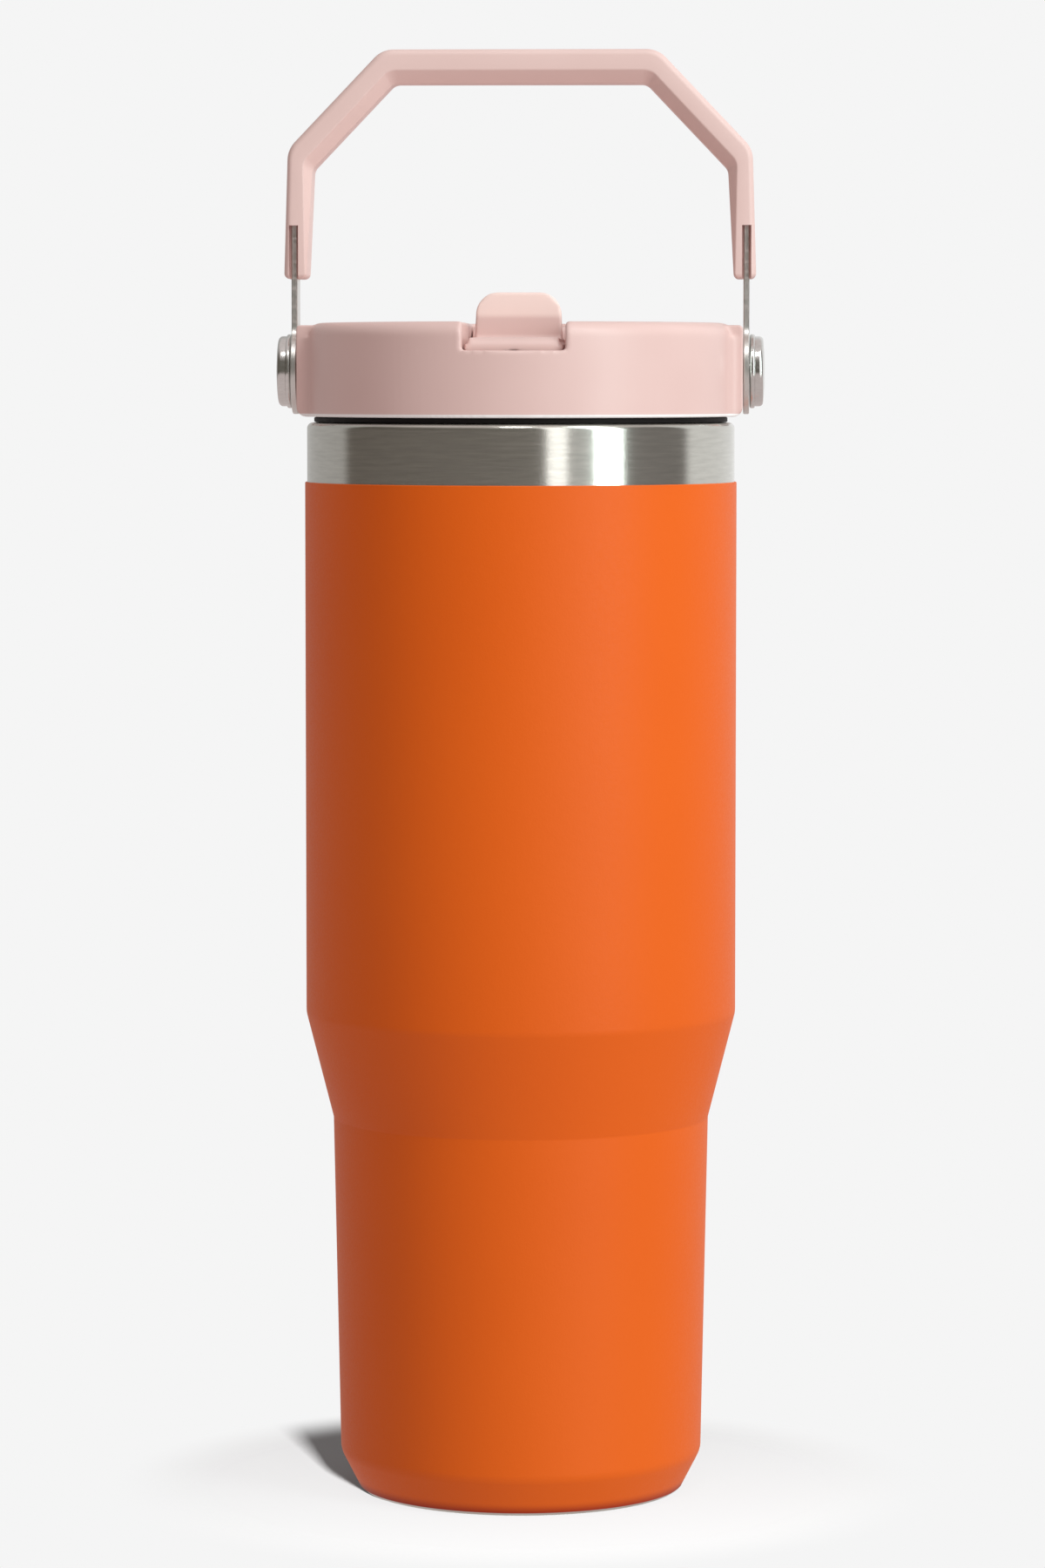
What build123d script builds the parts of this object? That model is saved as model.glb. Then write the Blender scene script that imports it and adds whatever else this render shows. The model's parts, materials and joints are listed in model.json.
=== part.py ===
from build123d import *
from math import cos, radians, sin
import os

# Insulated tumbler with a screw lid, a flip-up drinking spout and a swinging carry handle.
# Millimetres. Z is up, the floor is Z = 0, the origin is the centre of the foot.
# The spout points to -Y and the handle's pivots are on the X axis's two sides.

os.makedirs("parts", exist_ok=True)

# ---------------------------------------------------------------- driving dimensions

# Outside of the coated body, from the foot upwards
foot_r = 33.4
base_r = 37.5
base_z = 8.0
waist_r = 38.9
waist_z = 77.6
body_r = 44.5
shoulder_z = 99.5
coat_top_z = 209.2
rim_z = 221.4

coat_t = 0.45
coat_foot_z = 0.6
shell_t = 0.7
rim_t = 0.8
rim_round = 1.2

# Inner liner, outside radii
liner_t = 0.5
liner_floor_z = 10.0
liner_corner_r = 6.0
liner_base_r = 34.3
liner_waist_r = 35.6
liner_r = 41.3
liner_waist_z = waist_z - 1.1
liner_shoulder_z = shoulder_z + 1.0

# Screw thread between the liner's mouth and the lid's plug
thread_lead = 5.0
thread_turns = 1.25
thread_foot_w = 2.3
thread_crest_w = 1.2
female_start_z = 211.8
thread_drop = 2.3
female_crest_r = 39.55
male_crest_r = 40.4
thread_root_depth = 0.3

# Foot: pressed base, cover plate, getter and seal bead
dish_z = 2.4
dish_t = 0.7
cover_r = 30.7
cover_z = 0.6
cover_t = 0.7
cover_ring_r = 19.0
cover_ring_w = 1.2
bead_r = 3.0
pump_hole_r = 1.0
getter_r = 5.0
getter_h = 2.0
getter_x = 16.0

# Lid
lid_r = 44.0
lid_wall = 2.4
lid_bottom_z = 222.6
lid_top_z = 241.8
lid_round = 3.0
deck_t = 2.5
flange_t = 2.2
plug_r = 39.1
plug_wall = 2.3
plug_bottom_z = 208.0
plug_floor_t = 2.0
gasket_gap = 0.1
gasket_r = 42.6

# Ears that carry the handle's pivots
ear_x = 45.7
ear_y = 9.6
ear_top_z = 241.3
ear_blend = 3.0
ear_corner = 2.0
ear_top_round = 0.8
pivot_z = 231.9

# Drinking spout, its trough and the parts under its hub
hub_y = 6.0
hub_z = 233.05
hub_r = 8.0
hub_x = 10.0
hub_gap = 0.3
trunnion_r = 2.5
trunnion_gap = 0.08
trough_x = 10.3
trough_wall = 1.6
trough_floor_z = 229.2
trough_corner = 0.7
trough_round = 0.6
sill_z = 236.0
spout_x = 9.0
spout_foot_x = 9.85
spout_foot_z = 237.4
spout_top_z = 238.6
spout_bottom_z = 229.7
spout_tip_y = -41.0
passage_r = 2.9
tab_y = -13.0
tab_t = 2.8
tab_top_z = 248.0
tab_lean = 6.0
tab_taper = 0.5
tab_corner = 4.5
tower_r = 7.0
tower_bore_r = 5.6
seal_gap = 0.1
seal_bottom_z = 220.4
bushing_r = 7.8
bushing_t = 1.4
straw_r = 4.0
straw_bore_r = 3.2
straw_bottom_z = 14.0
straw_top_z = 219.0
vent_y = -22.0
vent_r = 1.5
vent_cap_r = 4.2
vent_cap_h = 1.6
vent_barb_r = 2.2
vent_barb_h = 2.6
vent_tip_r = 0.6

# Handle pivots, from the lid's ear outwards
rivet_r = 2.5
rivet_head_r = 4.5
rivet_head_t = 1.3
rivet_head_bevel = 0.6
rivet_end_t = 0.9
rivet_end_r = 3.8
bracket_gap = 0.1
bracket_t = 1.2
washer_r = 7.6
washer_t = 1.1
cap_r = 7.2
cap_h = 2.0
cap_t = 0.6
cap_round = 1.7
bracket_end_r = 8.8
bracket_w = 8.0
bracket_top_z = 268.0
bracket_neck_r = 4.0

# Handle grip: foot, knee and top corner of its outline, and how thick it is at each
grip_foot_x = 48.4
grip_foot_z = 250.8
grip_knee_x = 47.6
grip_knee_z = 277.2
grip_corner_x = 28.2
grip_top_z = 297.5
inner_knee_x = 42.6
inner_knee_z = 273.1
inner_corner_x = 25.9
arm_t = 4.8
bar_t = 6.9
grip_depth = 13.0
grip_outer_round = 5.5
grip_inner_round = 2.5
grip_bevel = 1.4
grip_edge_round = 1.2
slot_top_z = 261.7
slot_w = 1.9
slot_floor_y = 3.6

# ---------------------------------------------------------------- worked-out values

liner_bore_r = liner_r - liner_t
lid_bore_r = lid_r - lid_wall
bracket_x = ear_x + bracket_gap
washer_x = bracket_x + bracket_t + bracket_gap
cap_x = washer_x + washer_t
thread_rise = thread_lead * thread_turns


def body_side(inset, top_z):
    """Half outline of the body from the foot to top_z, moved inwards by inset."""
    return [
        (foot_r - inset, 0),
        (base_r - inset, base_z),
        (waist_r - inset, waist_z),
        (body_r - inset, shoulder_z),
        (body_r - inset, top_z),
    ]


body_side_rounds = [5.0, 1.5, 6.0]


def liner_side(inset, bottom_z):
    """Half outline of the liner's wall from bottom_z to the rim, moved inwards by inset."""
    return [
        (liner_base_r - inset, bottom_z),
        (liner_waist_r - inset, liner_waist_z),
        (liner_r - inset, liner_shoulder_z),
        (liner_r - inset, rim_z),
    ]


liner_side_rounds = [4.0, 6.0]


def save(part, name):
    """Label a finished piece and write its STEP file."""
    part.label = name
    export_step(part, f"parts/{name}.step")


def thread_ridge(wall_r, crest_r, start_z):
    """One right-handed helical ridge that stands on a wall of radius wall_r."""
    into_wall = thread_root_depth if wall_r > crest_r else -thread_root_depth
    root_r = wall_r + into_wall
    with BuildPart() as ridge:
        with BuildLine() as path:
            Helix(pitch=thread_lead, height=thread_rise, radius=crest_r, center=(0, 0, start_z))
        with BuildSketch(Plane.XZ):
            with BuildLine():
                Polyline(
                    (root_r, start_z - thread_foot_w / 2),
                    (crest_r, start_z - thread_crest_w / 2),
                    (crest_r, start_z + thread_crest_w / 2),
                    (root_r, start_z + thread_foot_w / 2),
                    close=True,
                )
            make_face()
        sweep(path=path.wire(), is_frenet=True)
    return ridge.part


# ---------------------------------------------------------------- bottle

with BuildPart() as powder_coat:
    with BuildSketch(Plane.XZ):
        with BuildLine():
            outer = FilletPolyline(*body_side(0, coat_top_z), radius=body_side_rounds)
            inner = FilletPolyline(*body_side(coat_t, coat_top_z), radius=body_side_rounds)
            Line(outer @ 0, inner @ 0)
            Line(outer @ 1, inner @ 1)
        make_face()
        with Locations((foot_r, 0)):
            Rectangle(10, 2 * coat_foot_z, mode=Mode.SUBTRACT)
    revolve(axis=Axis.Z)
save(powder_coat.part, "powder_coat")

with BuildPart() as outer_shell:
    with BuildSketch(Plane.XZ):
        with BuildLine():
            outer = FilletPolyline(
                *body_side(coat_t, rim_z),
                (liner_r, rim_z),
                radius=body_side_rounds + [rim_round],
            )
            inner = FilletPolyline(
                *body_side(coat_t + shell_t, rim_z - rim_t),
                (liner_r, rim_z - rim_t),
                radius=body_side_rounds + [rim_round / 3],
            )
            Line(outer @ 0, inner @ 0)
            Line(outer @ 1, inner @ 1)
        make_face()
    revolve(axis=Axis.Z)
save(outer_shell.part, "outer_shell")

with BuildPart() as inner_liner:
    wall_bottom_z = liner_floor_z + liner_corner_r
    with BuildSketch(Plane.XZ):
        with BuildLine():
            outer = FilletPolyline(*liner_side(0, wall_bottom_z), radius=liner_side_rounds)
            inner = FilletPolyline(*liner_side(liner_t, wall_bottom_z), radius=liner_side_rounds)
            Line(outer @ 0, inner @ 0)
            Line(outer @ 1, inner @ 1)
        make_face()
    revolve(axis=Axis.Z)
    add(thread_ridge(liner_bore_r, female_crest_r, female_start_z))
save(inner_liner.part, "inner_liner")

with BuildPart() as liner_base:
    with BuildSketch(Plane.XZ):
        with BuildLine():
            outer = FilletPolyline(
                (0, liner_floor_z),
                (liner_base_r, liner_floor_z),
                (liner_base_r, wall_bottom_z),
                radius=liner_corner_r - 0.1,
            )
            inner = FilletPolyline(
                (0, liner_floor_z + liner_t),
                (liner_base_r - liner_t, liner_floor_z + liner_t),
                (liner_base_r - liner_t, wall_bottom_z),
                radius=liner_corner_r - liner_t - 0.1,
            )
            Line(outer @ 0, inner @ 0)
            Line(outer @ 1, inner @ 1)
        make_face()
    revolve(axis=Axis.Z)
save(liner_base.part, "liner_base")

with BuildPart() as outer_base:
    shell_slope = (base_r - foot_r) / base_z
    seat_r = foot_r - coat_t - shell_t
    top_z = dish_z + dish_t
    with BuildSketch(Plane.XZ):
        with BuildLine():
            Polyline(
                (seat_r - dish_t, 0),
                (seat_r, 0),
                (seat_r + shell_slope * top_z, top_z),
                (pump_hole_r, top_z),
                (pump_hole_r, dish_z),
                (seat_r - dish_t + shell_slope * dish_z, dish_z),
                close=True,
            )
        make_face()
    revolve(axis=Axis.Z)
save(outer_base.part, "outer_base")

with BuildPart() as base_cover:
    with BuildSketch(Plane.XZ):
        with BuildLine():
            Polyline(
                (0, cover_z),
                (cover_r, cover_z),
                (cover_r, dish_z),
                (cover_r - cover_t, dish_z),
                (cover_r - cover_t, cover_z + cover_t),
                (0, cover_z + cover_t),
                close=True,
            )
        make_face()
    revolve(axis=Axis.Z)
    rim_edge = base_cover.edges().filter_by(GeomType.CIRCLE).group_by(Axis.Z)[0]
    fillet(rim_edge, cover_t / 2)
    # A shallow pressed ring stiffens the plate.
    with BuildSketch(Plane.XY.offset(cover_z)):
        Circle(cover_ring_r)
        Circle(cover_ring_r - cover_ring_w, mode=Mode.SUBTRACT)
    extrude(amount=cover_t / 3, mode=Mode.SUBTRACT)
save(base_cover.part, "base_cover")

with BuildPart() as vacuum_seal:
    bead_bottom_z = cover_z + cover_t + 0.2
    with BuildSketch(Plane.XZ):
        with BuildLine():
            dome = ThreePointArc(
                (0, bead_bottom_z), (bead_r * 0.75, bead_bottom_z + 0.35), (bead_r, dish_z)
            )
            Polyline(dome @ 1, (pump_hole_r, dish_z), (pump_hole_r, dish_z + dish_t + 0.3))
            Line((pump_hole_r, dish_z + dish_t + 0.3), (0, dish_z + dish_t + 0.3))
            Line((0, dish_z + dish_t + 0.3), (0, bead_bottom_z))
        make_face()
    revolve(axis=Axis.Z)
save(vacuum_seal.part, "vacuum_seal")

with BuildPart() as getter:
    with BuildSketch(Plane.XY.offset(dish_z + dish_t)):
        with Locations((getter_x, 0)):
            Circle(getter_r)
    extrude(amount=getter_h)
    fillet(getter.edges().group_by(Axis.Z)[-1], 0.6)
save(getter.part, "getter")

# ---------------------------------------------------------------- lid seal

with BuildPart() as rim_gasket:
    with BuildSketch(Plane.XZ):
        with BuildLine():
            FilletPolyline(
                (plug_r + gasket_gap, rim_z + gasket_gap),
                (gasket_r, rim_z + gasket_gap),
                (gasket_r, lid_bottom_z - gasket_gap),
                (plug_r + gasket_gap, lid_bottom_z - gasket_gap),
                close=True,
                radius=0.5,
            )
        make_face()
    revolve(axis=Axis.Z)
save(rim_gasket.part, "rim_gasket")

# ---------------------------------------------------------------- lid

trough_back_y = hub_y + hub_r + hub_gap
trough_front_y = -(lid_bore_r - 0.2)

# Upright hollows that lead from the round wall out to the ears
with BuildPart() as ear_blends:
    blend_top_z = lid_top_z - lid_round
    blend_x = ear_x - 0.4
    with BuildSketch(Plane.XY.offset(lid_bottom_z)):
        Circle(lid_r)
        Rectangle(2 * blend_x, 2 * ear_y)
    extrude(amount=blend_top_z - lid_bottom_z)
    inner_corners = ear_blends.edges().filter_by(Axis.Z).filter_by(lambda edge: abs(edge.center().X) < lid_r)
    fillet(inner_corners, ear_blend)
    with BuildSketch(Plane.XZ):
        with BuildLine():
            FilletPolyline(
                (-blend_x, lid_bottom_z),
                (blend_x, lid_bottom_z),
                (blend_x, blend_top_z),
                (-blend_x, blend_top_z),
                close=True,
                radius=[ear_corner, ear_corner, 0.1, 0.1],
            )
        make_face()
    extrude(amount=2 * lid_r, both=True, mode=Mode.INTERSECT)
    with BuildSketch(Plane.XY.offset(lid_bottom_z)):
        Circle(lid_bore_r)
    extrude(amount=lid_top_z - lid_bottom_z, mode=Mode.SUBTRACT)

with BuildPart() as lid_cover:
    # Round cap with a flat deck
    with BuildSketch(Plane.XZ):
        with BuildLine():
            Polyline(
                (0, lid_top_z),
                (lid_r, lid_top_z),
                (lid_r, lid_bottom_z),
                (lid_bore_r, lid_bottom_z),
                (lid_bore_r, lid_top_z - deck_t),
                (0, lid_top_z - deck_t),
                close=True,
            )
        make_face()
    revolve(axis=Axis.Z)
    top_edges = lid_cover.edges().filter_by(GeomType.CIRCLE).group_by(Axis.Z)[-1]
    fillet(top_edges.sort_by(SortBy.RADIUS)[-1], lid_round)
    # Flat-faced ears, blended into the round wall up to where the wall's top rounds off
    with BuildSketch(Plane.XY.offset(lid_bottom_z)):
        Rectangle(2 * ear_x, 2 * ear_y)
        Circle(lid_bore_r, mode=Mode.SUBTRACT)
    extrude(amount=ear_top_z - lid_bottom_z)
    ear_edges = lid_cover.edges().filter_by(Axis.Y).filter_by(lambda edge: abs(edge.center().X) > lid_r)
    fillet(ear_edges.group_by(Axis.Z)[0], ear_corner)
    fillet(ear_edges.group_by(Axis.Z)[-1], ear_top_round)
    add(ear_blends.part)
    # Trough that the spout folds into: side walls, floor and a round seat for the hub
    with BuildSketch(Plane.YZ.offset(-trough_x - trough_wall)):
        with BuildLine():
            Polyline(
                (trough_front_y, trough_floor_z - trough_wall),
                (hub_y, trough_floor_z - trough_wall),
                (trough_back_y + trough_wall, trough_floor_z - trough_wall),
                (trough_back_y + trough_wall, lid_top_z - deck_t),
                (trough_front_y, lid_top_z - deck_t),
                close=True,
            )
        make_face()
        with Locations((hub_y, hub_z)):
            Circle(hub_r + hub_gap + trough_wall)
        with Locations((hub_y, lid_top_z - deck_t)):
            Rectangle(4 * hub_r, 4 * hub_r, align=(Align.CENTER, Align.MIN), mode=Mode.SUBTRACT)
    extrude(amount=2 * (trough_x + trough_wall))
    with BuildSketch(Plane.YZ.offset(-trough_x)):
        with BuildLine():
            Polyline(
                (trough_front_y, trough_floor_z),
                (trough_front_y, lid_top_z + 1),
                (trough_back_y, lid_top_z + 1),
                (trough_back_y, hub_z),
                (hub_y, hub_z),
                (hub_y, trough_floor_z),
                close=True,
            )
        make_face()
        with Locations((hub_y, hub_z)):
            Circle(hub_r + hub_gap)
    extrude(amount=2 * trough_x, mode=Mode.SUBTRACT)
    # Notch in the front edge, where the spout's tip shows
    with BuildSketch(Plane.XZ.offset(lid_bore_r - 4)):
        with Locations((0, sill_z)):
            Rectangle(2 * trough_x, 20, align=(Align.CENTER, Align.MIN))
    extrude(amount=20, mode=Mode.SUBTRACT)
    # Rounded back corners in the trough, then a soft edge all along its mouth and the notch
    trough_edges = lid_cover.edges().filter_by(lambda edge: abs(abs(edge.center().X) - trough_x) < 0.01)
    fillet(trough_edges.filter_by(Axis.Z).group_by(Axis.Y)[-1], trough_corner)
    mouth_edges = lid_cover.edges().filter_by(lambda edge: abs(abs(edge.center().X) - trough_x) < 0.01)
    fillet(mouth_edges.filter_by(lambda edge: edge.center().Z > lid_top_z - 0.01), trough_round)
    # Sockets for the spout's trunnions, the straw tower's seat, the vent and the rivets
    with BuildSketch(Plane.YZ.offset(-trough_x - trough_wall)):
        with Locations((hub_y, hub_z)):
            Circle(trunnion_r + trunnion_gap)
    extrude(amount=2 * (trough_x + trough_wall), mode=Mode.SUBTRACT)
    with BuildSketch(Plane.XY.offset(hub_z)):
        with Locations((0, hub_y)):
            Circle(tower_r)
    extrude(amount=-20, mode=Mode.SUBTRACT)
    with BuildSketch(Plane.XY.offset(trough_floor_z)):
        with Locations((0, vent_y)):
            Circle(vent_r)
    extrude(amount=-trough_wall, mode=Mode.SUBTRACT)
    for side in (-1, 1):
        with BuildSketch(Plane.YZ.offset(side * lid_bore_r - side)):
            with Locations((0, pivot_z)):
                Circle(rivet_r)
        extrude(amount=side * 10, mode=Mode.SUBTRACT)
save(lid_cover.part, "lid_cover")

with BuildPart() as lid_base:
    with BuildSketch(Plane.XZ):
        with BuildLine():
            FilletPolyline(
                (0, plug_bottom_z),
                (plug_r, plug_bottom_z),
                (plug_r, lid_bottom_z),
                (lid_bore_r, lid_bottom_z),
                (lid_bore_r, lid_bottom_z + flange_t),
                (plug_r - plug_wall, lid_bottom_z + flange_t),
                (plug_r - plug_wall, plug_bottom_z + plug_floor_t),
                (0, plug_bottom_z + plug_floor_t),
                radius=[1.2, 0.2, 0.2, 0.2, 0.5, 1.0],
            )
            Line((0, plug_bottom_z + plug_floor_t), (0, plug_bottom_z))
        make_face()
    revolve(axis=Axis.Z)
    # Straw tower, cut to the hub's round seat
    with BuildSketch(Plane.XY.offset(plug_bottom_z)):
        with Locations((0, hub_y)):
            Circle(tower_r)
    extrude(amount=hub_z - hub_r - plug_bottom_z + 1)
    with BuildSketch(Plane.XY.offset(plug_bottom_z)):
        with Locations((0, hub_y)):
            Circle(tower_bore_r)
        with Locations((0, vent_y)):
            Circle(vent_r)
    extrude(amount=20, mode=Mode.SUBTRACT)
    with BuildSketch(Plane.YZ.offset(-hub_x)):
        with Locations((hub_y, hub_z)):
            Circle(hub_r + hub_gap)
    extrude(amount=2 * hub_x, mode=Mode.SUBTRACT)
    add(thread_ridge(plug_r, male_crest_r, female_start_z - thread_drop))
save(lid_base.part, "lid_base")

with BuildPart() as spout_seal:
    with BuildSketch(Plane.XY.offset(seal_bottom_z)):
        with Locations((0, hub_y)):
            Circle(tower_bore_r)
            Circle(passage_r, mode=Mode.SUBTRACT)
    extrude(amount=hub_z - seal_bottom_z)
    with BuildSketch(Plane.YZ.offset(-hub_x)):
        with Locations((hub_y, hub_z)):
            Circle(hub_r + seal_gap)
    extrude(amount=2 * hub_x, mode=Mode.SUBTRACT)
    with BuildSketch(Plane.XY.offset(hub_z - 3)):
        Rectangle(60, 60)
    extrude(amount=10, mode=Mode.SUBTRACT)
save(spout_seal.part, "spout_seal")

with BuildPart() as straw_bushing:
    with BuildSketch(Plane.YZ):
        with BuildLine():
            FilletPolyline(
                (hub_y + straw_r, seal_bottom_z),
                (hub_y + tower_bore_r, seal_bottom_z),
                (hub_y + tower_bore_r, plug_bottom_z),
                (hub_y + bushing_r, plug_bottom_z),
                (hub_y + bushing_r, plug_bottom_z - bushing_t),
                (hub_y + straw_r, plug_bottom_z - bushing_t),
                close=True,
                radius=[0.3, 0.3, 0, 0.5, 0.5, 0.3],
            )
        make_face()
    revolve(axis=Axis((0, hub_y, 0), (0, 0, 1)))
save(straw_bushing.part, "straw_bushing")

with BuildPart() as straw:
    with BuildSketch(Plane.XY.offset(straw_bottom_z)):
        with Locations((0, hub_y)):
            Circle(straw_r)
            Circle(straw_bore_r, mode=Mode.SUBTRACT)
    extrude(amount=straw_top_z - straw_bottom_z)
    # Slanted foot, so that the straw can't seal itself on the liner's floor
    with BuildSketch(Plane.YZ.offset(-straw_r)):
        with BuildLine():
            Polyline(
                (hub_y - straw_r, straw_bottom_z),
                (hub_y + straw_r, straw_bottom_z),
                (hub_y + straw_r, straw_bottom_z + straw_r),
                close=True,
            )
        make_face()
    extrude(amount=2 * straw_r, mode=Mode.SUBTRACT)
save(straw.part, "straw")

with BuildPart() as vent_valve:
    vent_neck_z = plug_bottom_z + plug_floor_t
    with BuildSketch(Plane.YZ):
        with BuildLine():
            cap_edge = ThreePointArc(
                (vent_y, plug_bottom_z - vent_cap_h),
                (vent_y + 0.62 * vent_cap_r, plug_bottom_z - 0.7 * vent_cap_h),
                (vent_y + vent_cap_r, plug_bottom_z),
            )
            Polyline(
                cap_edge @ 1,
                (vent_y + vent_r, plug_bottom_z),
                (vent_y + vent_r, vent_neck_z),
                (vent_y + vent_barb_r, vent_neck_z),
                (vent_y + vent_tip_r, vent_neck_z + vent_barb_h),
                (vent_y, vent_neck_z + vent_barb_h),
                cap_edge @ 0,
            )
        make_face()
    revolve(axis=Axis((0, vent_y, 0), (0, 0, 1)))
save(vent_valve.part, "vent_valve")

# ---------------------------------------------------------------- spout

with BuildPart() as mouthpiece:
    with BuildSketch(Plane.YZ.offset(-hub_x)):
        with Locations((hub_y, hub_z)):
            Circle(hub_r)
    extrude(amount=2 * hub_x)
    with BuildSketch(Plane.YZ.offset(-spout_x)):
        with BuildLine():
            FilletPolyline(
                (hub_y, spout_bottom_z),
                (spout_tip_y, spout_bottom_z),
                (spout_tip_y, spout_top_z),
                (hub_y, spout_top_z),
                close=True,
                radius=[0.1, 3.0, 2.0, 0.1],
            )
        make_face()
    extrude(amount=2 * spout_x)
    # Its lower part nearly fills the trough
    with BuildSketch(Plane.YZ.offset(-spout_foot_x)):
        with BuildLine():
            FilletPolyline(
                (hub_y, spout_bottom_z),
                (spout_tip_y, spout_bottom_z),
                (spout_tip_y, spout_foot_z),
                (hub_y, spout_foot_z),
                close=True,
                radius=[0.1, 3.0, 1.0, 0.1],
            )
        make_face()
    extrude(amount=2 * spout_foot_x)
    # Thumb tab: a rounded plate that leans back a little
    tab_root_z = spout_top_z - 1
    tab_h = (tab_top_z - tab_root_z) / cos(radians(tab_lean))
    tab_normal = (0, -cos(radians(tab_lean)), sin(radians(tab_lean)))
    with BuildSketch(Plane(origin=(0, tab_y, tab_root_z), x_dir=(1, 0, 0), z_dir=tab_normal)):
        with BuildLine():
            FilletPolyline(
                (-spout_x, 0),
                (spout_x, 0),
                (spout_x - tab_taper, tab_h),
                (-spout_x + tab_taper, tab_h),
                close=True,
                radius=[0.1, 0.1, tab_corner, tab_corner],
            )
        make_face()
    extrude(amount=-tab_t)
    # Trunnions
    with BuildSketch(Plane.YZ.offset(-trough_x - trough_wall + 0.2)):
        with Locations((hub_y, hub_z)):
            Circle(trunnion_r)
    extrude(amount=2 * (trough_x + trough_wall - 0.2))
    # Drinking passage, straight from the tip through the hub
    with BuildSketch(Plane.XZ.offset(-hub_y - hub_r - 1)):
        with Locations((0, hub_z)):
            Circle(passage_r)
    extrude(amount=hub_y + hub_r + 1 - spout_tip_y + 1, mode=Mode.SUBTRACT)
save(mouthpiece.part, "mouthpiece")

# ---------------------------------------------------------------- handle and its pivots

pivot_axis = Axis((0, 0, pivot_z), (1, 0, 0))
rivet_head_x = lid_bore_r - 0.35
head_inner_x = rivet_head_x - rivet_head_t
rivet_end_x = cap_x + rivet_end_t

for side, side_name in ((-1, "left"), (1, "right")):
    with BuildPart() as pivot_rivet:
        with BuildSketch(Plane.XZ):
            with BuildLine():
                Polyline(
                    (side * head_inner_x, pivot_z),
                    (side * head_inner_x, pivot_z + rivet_head_r - rivet_head_bevel),
                    (side * (head_inner_x + rivet_head_bevel), pivot_z + rivet_head_r),
                    (side * rivet_head_x, pivot_z + rivet_head_r),
                    (side * rivet_head_x, pivot_z + rivet_r),
                    (side * cap_x, pivot_z + rivet_r),
                    (side * (cap_x + rivet_end_t / 3), pivot_z + rivet_end_r),
                    (side * rivet_end_x, pivot_z + rivet_r),
                    (side * rivet_end_x, pivot_z),
                    close=True,
                )
            make_face()
        revolve(axis=pivot_axis)
    save(pivot_rivet.part, f"pivot_rivet_{side_name}")

    with BuildPart() as pivot_washer:
        with BuildSketch(Plane.YZ.offset(side * washer_x)):
            with Locations((0, pivot_z)):
                Circle(washer_r)
                Circle(rivet_r, mode=Mode.SUBTRACT)
        extrude(amount=side * washer_t)
        washer_circles = pivot_washer.edges().filter_by(GeomType.CIRCLE)
        fillet(washer_circles.filter_by(lambda edge: edge.radius > rivet_r + 1), washer_t * 0.4)
    save(pivot_washer.part, f"pivot_washer_{side_name}")

    with BuildPart() as rivet_cap:
        with BuildSketch(Plane.XZ):
            with BuildLine():
                outer = FilletPolyline(
                    (side * cap_x, pivot_z + cap_r),
                    (side * (cap_x + cap_h), pivot_z + cap_r),
                    (side * (cap_x + cap_h), pivot_z),
                    radius=cap_round,
                )
                inner = FilletPolyline(
                    (side * cap_x, pivot_z + cap_r - cap_t),
                    (side * (cap_x + cap_h - cap_t), pivot_z + cap_r - cap_t),
                    (side * (cap_x + cap_h - cap_t), pivot_z),
                    radius=cap_round - cap_t,
                )
                Line(outer @ 0, inner @ 0)
                Line(outer @ 1, inner @ 1)
            make_face()
        revolve(axis=pivot_axis)
    save(rivet_cap.part, f"rivet_cap_{side_name}")

    with BuildPart() as bracket:
        with BuildSketch(Plane.YZ.offset(side * bracket_x)) as plate:
            with Locations((0, pivot_z)):
                Circle(bracket_end_r)
                Rectangle(bracket_w, bracket_top_z - pivot_z, align=(Align.CENTER, Align.MIN))
            neck = plate.vertices().filter_by(lambda corner: 1 < corner.Y - pivot_z < bracket_end_r)
            fillet(neck, bracket_neck_r)
            with Locations((0, pivot_z)):
                Circle(rivet_r + trunnion_gap, mode=Mode.SUBTRACT)
        extrude(amount=side * bracket_t)
    save(bracket.part, f"bracket_{side_name}")


def arch(foot_x, knee_x, knee_z, corner_x, top_z, corner_round):
    """Edges of a five-sided arch that is open at the bottom."""
    return FilletPolyline(
        (-foot_x, grip_foot_z),
        (-knee_x, knee_z),
        (-corner_x, top_z),
        (corner_x, top_z),
        (knee_x, knee_z),
        (foot_x, grip_foot_z),
        radius=corner_round,
    )


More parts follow.
